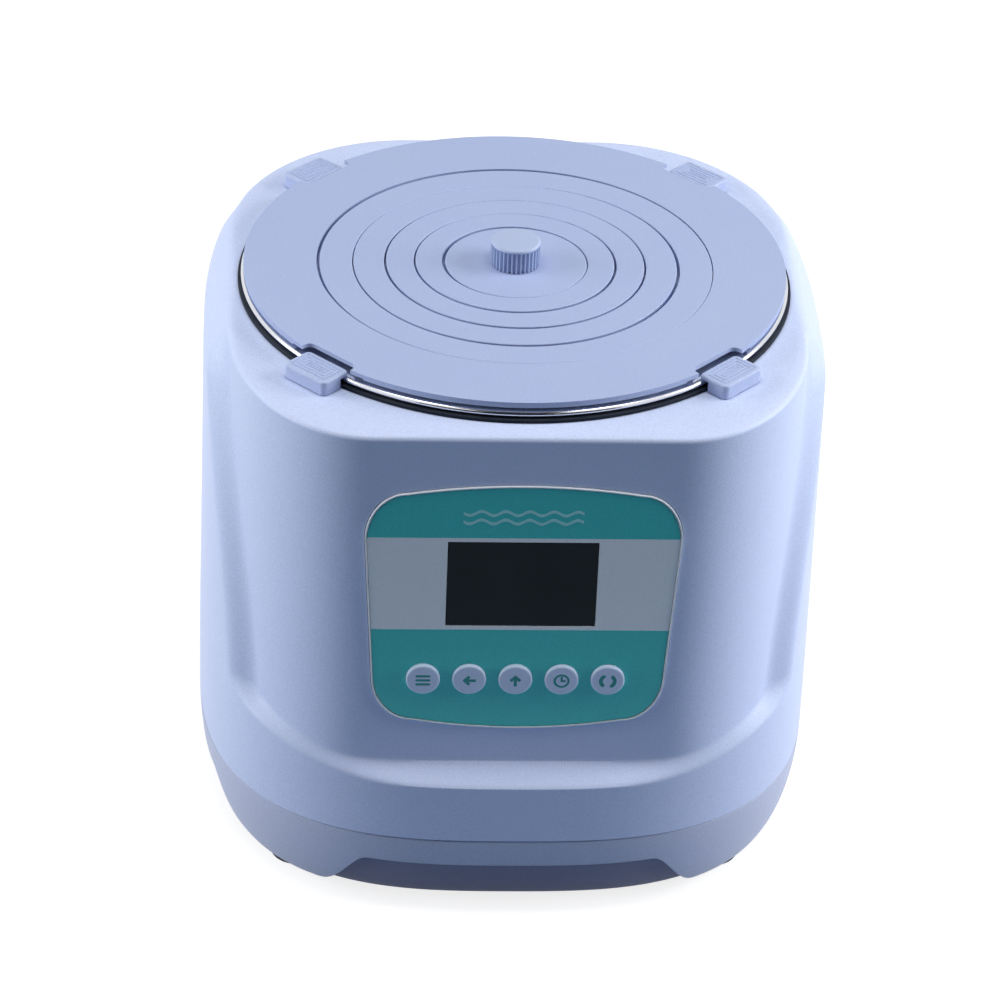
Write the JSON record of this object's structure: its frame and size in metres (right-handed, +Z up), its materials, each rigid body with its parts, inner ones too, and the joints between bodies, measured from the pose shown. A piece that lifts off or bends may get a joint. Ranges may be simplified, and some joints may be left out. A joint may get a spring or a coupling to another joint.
{
  "type": "laboratory water bath",
  "caption": "Round-well laboratory water bath: steel well in a square-round moulded casing, nested cover rings, hold-down clips, control panel, rear inlet and power switch.",
  "frame": {"origin": "on the table, under the middle of the casing", "axes": "+Z up, -Y towards the control panel, +X to the right as seen from the front"},
  "size_m": [0.25, 0.264, 0.2355],
  "materials": {
    "casing_white": "fine satin grain",
    "base_grey": "fine satin grain",
    "pan_grey": "moulded matt",
    "cover_grey": "fine satin grain",
    "rubber_black": "moulded matt",
    "gasket_black": "moulded matt",
    "polished_steel": "polished, spun",
    "element_steel": "drawn",
    "zinc_screw": "zinc plated",
    "insulation_felt": "felted fibre",
    "heater_aluminium": "cast",
    "cutout_brown": "moulded phenolic",
    "fascia_white": "smooth satin",
    "overlay_teal": "printed film, satin",
    "display_dark": "polished window",
    "key_white": "smooth satin",
    "circuit_green": "solder mask",
    "fuse_glass": "clear tube",
    "module_black": "moulded satin"
  },
  "bodies": {
    "housing": {"upper_casing": "casing_white", "base_casing": "base_grey", "bottom_pan": "pan_grey", "foot_front_left": "rubber_black", "foot_front_right": "rubber_black", "foot_rear_right": "rubber_black", "foot_rear_left": "rubber_black", "case_screw_front_left": "zinc_screw", "case_screw_front_right": "zinc_screw", "case_screw_rear_right": "zinc_screw", "case_screw_rear_left": "zinc_screw", "well": "polished_steel", "rim_gasket": "gasket_black", "insulation_sleeve": "insulation_felt", "heater_plate": "heater_aluminium", "heating_element": "element_steel", "thermal_cutout": "cutout_brown", "temperature_probe": "element_steel", "control_fascia": "fascia_white", "panel_overlay": "overlay_teal", "display_window": "display_dark", "display_module": "module_black", "key_board": "circuit_green", "board_screw_1": "zinc_screw", "board_screw_2": "zinc_screw", "board_screw_3": "zinc_screw", "board_screw_4": "zinc_screw", "power_board": "circuit_green", "fuse": "fuse_glass", "power_inlet": "module_black", "switch_housing": "module_black"},
    "lid_ring": {"lid_ring": "cover_grey"},
    "reducing_ring_1": {"reducing_ring_1": "cover_grey"},
    "reducing_ring_2": {"reducing_ring_2": "cover_grey"},
    "reducing_ring_3": {"reducing_ring_3": "cover_grey"},
    "reducing_ring_4": {"reducing_ring_4": "cover_grey"},
    "middle_lid": {"middle_lid": "cover_grey", "lid_knob": "cover_grey", "knob_screw": "zinc_screw"},
    "clip_rear_right": {"clip_rear_right": "cover_grey"},
    "clip_rear_left": {"clip_rear_left": "cover_grey"},
    "clip_front_left": {"clip_front_left": "cover_grey"},
    "clip_front_right": {"clip_front_right": "cover_grey"},
    "button_menu": {"button_menu": "key_white"},
    "button_left": {"button_left": "key_white"},
    "button_up": {"button_up": "key_white"},
    "button_clock": {"button_clock": "key_white"},
    "button_cycle": {"button_cycle": "key_white"},
    "power_rocker": {"power_rocker": "module_black"}
  },
  "joints": [
    {"name": "lid_lift", "type": "slide", "parent": "housing", "child": "lid_ring", "axis": [0, 0, 1], "range_m": [0, 0.06]},
    {"name": "ring_1_lift", "type": "slide", "parent": "lid_ring", "child": "reducing_ring_1", "axis": [0, 0, 1], "range_m": [0, 0.03]},
    {"name": "ring_2_lift", "type": "slide", "parent": "reducing_ring_1", "child": "reducing_ring_2", "axis": [0, 0, 1], "range_m": [0, 0.03]},
    {"name": "ring_3_lift", "type": "slide", "parent": "reducing_ring_2", "child": "reducing_ring_3", "axis": [0, 0, 1], "range_m": [0, 0.03]},
    {"name": "ring_4_lift", "type": "slide", "parent": "reducing_ring_3", "child": "reducing_ring_4", "axis": [0, 0, 1], "range_m": [0, 0.03]},
    {"name": "middle_lid_lift", "type": "slide", "parent": "reducing_ring_4", "child": "middle_lid", "axis": [0, 0, 1], "range_m": [0, 0.03]},
    {"name": "clip_rear_right_slide", "type": "slide", "parent": "housing", "child": "clip_rear_right", "axis": [0.7071, 0.7071, 0], "range_m": [0, 0.005]},
    {"name": "clip_rear_left_slide", "type": "slide", "parent": "housing", "child": "clip_rear_left", "axis": [-0.7071, 0.7071, 0], "range_m": [0, 0.005]},
    {"name": "clip_front_left_slide", "type": "slide", "parent": "housing", "child": "clip_front_left", "axis": [-0.7071, -0.7071, 0], "range_m": [0, 0.005]},
    {"name": "clip_front_right_slide", "type": "slide", "parent": "housing", "child": "clip_front_right", "axis": [0.7071, -0.7071, 0], "range_m": [0, 0.005]},
    {"name": "button_menu_press", "type": "slide", "parent": "housing", "child": "button_menu", "axis": [0, 1, 0], "range_m": [0, 0.0012], "stiffness_N_per_m": 300},
    {"name": "button_left_press", "type": "slide", "parent": "housing", "child": "button_left", "axis": [0, 1, 0], "range_m": [0, 0.0012], "stiffness_N_per_m": 300},
    {"name": "button_up_press", "type": "slide", "parent": "housing", "child": "button_up", "axis": [0, 1, 0], "range_m": [0, 0.0012], "stiffness_N_per_m": 300},
    {"name": "button_clock_press", "type": "slide", "parent": "housing", "child": "button_clock", "axis": [0, 1, 0], "range_m": [0, 0.0012], "stiffness_N_per_m": 300},
    {"name": "button_cycle_press", "type": "slide", "parent": "housing", "child": "button_cycle", "axis": [0, 1, 0], "range_m": [0, 0.0012], "stiffness_N_per_m": 300},
    {"name": "rocker_tilt", "type": "hinge", "parent": "housing", "child": "power_rocker", "pos_m": [0.024, 0.1186, 0.0822], "axis": [1, 0, 0], "range_deg": [-16, 0]}
  ]
}
